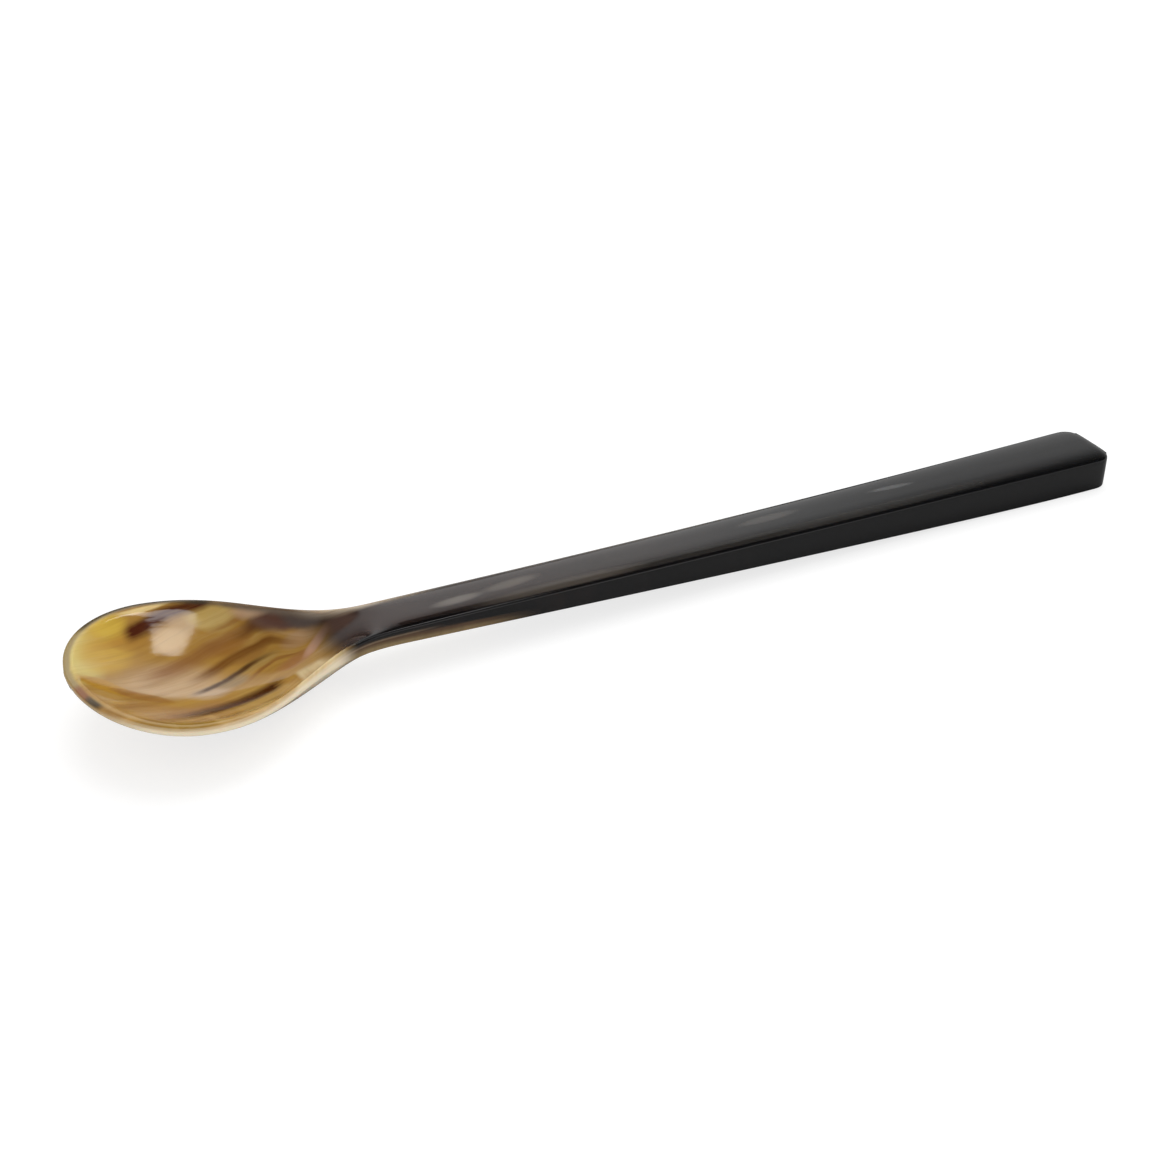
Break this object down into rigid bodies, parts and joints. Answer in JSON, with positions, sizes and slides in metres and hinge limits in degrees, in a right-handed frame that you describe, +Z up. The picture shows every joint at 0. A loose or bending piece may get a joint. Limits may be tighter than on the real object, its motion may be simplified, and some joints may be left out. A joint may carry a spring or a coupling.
{
  "type": "baby spoon",
  "caption": "Slim one-piece baby spoon of polished horn, with a shallow egg-shaped bowl for feeding and a gently crowned handle that thickens towards its end.",
  "frame": {"origin": "on the table, below the middle of the spoon's length and width", "axes": "+X from the tip of the bowl to the end of the handle, +Z up out of the bowl's hollow"},
  "size_m": [0.14, 0.0274, 0.0091],
  "materials": {
    "horn": "polished natural horn: amber and honey streaks with dark brown in the bowl, brown-black along the handle"
  },
  "bodies": {
    "root": {"spoon": "horn"}
  },
  "joints": []
}
